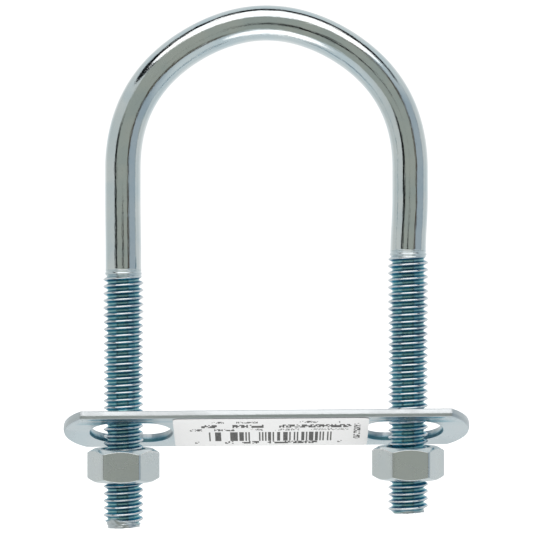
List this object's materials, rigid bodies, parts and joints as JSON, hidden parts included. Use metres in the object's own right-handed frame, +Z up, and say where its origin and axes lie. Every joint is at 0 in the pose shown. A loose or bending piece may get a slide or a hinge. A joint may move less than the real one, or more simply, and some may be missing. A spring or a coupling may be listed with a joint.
{
  "type": "u-bolt",
  "caption": "U-bolt bent from round rod with two threaded legs, a slotted strap plate held by a hexagon nut on each leg, and a paper label on the plate.",
  "frame": {"origin": "centre of the round bend, where the axis of the held pipe crosses the plane of the rod", "axes": "+Z up the legs to the bend, +X from the left leg to the right leg, +Y along the axis of the held pipe, away from the viewer of the labelled side"},
  "size_m": [0.0803, 0.0152, 0.1034],
  "materials": {
    "bolt_zinc": "bright blue-passivated zinc plate over drawn and rolled steel",
    "plate_zinc": "satin zinc plate over punched strip",
    "nut_zinc": "satin zinc plate over forged steel",
    "label_paper": "matt white paper"
  },
  "bodies": {
    "bolt": {"u_bolt": "bolt_zinc"},
    "strap": {"plate": "plate_zinc", "label": "label_paper"},
    "nut_left": {"left_nut": "nut_zinc"},
    "nut_right": {"right_nut": "nut_zinc"}
  },
  "joints": [
    {"name": "plate_travel", "type": "slide", "parent": "bolt", "child": "strap", "axis": [0, 0, 1], "range_m": [-0.01693, 0.03245]},
    {"name": "left_nut_turn", "type": "hinge", "parent": "strap", "child": "nut_left", "pos_m": [-0.0283, 0, -0.0587], "axis": [0, 0, 1], "range_deg": [-4320, 8280]},
    {"name": "right_nut_turn", "type": "hinge", "parent": "strap", "child": "nut_right", "pos_m": [0.028, 0, -0.0583], "axis": [0, 0, 1], "range_deg": [-4320, 8280]}
  ],
  "couplings": [
    {"joint": "left_nut_turn", "follows": "plate_travel", "rad_per_m": 4452.7},
    {"joint": "right_nut_turn", "follows": "plate_travel", "rad_per_m": 4452.7}
  ]
}
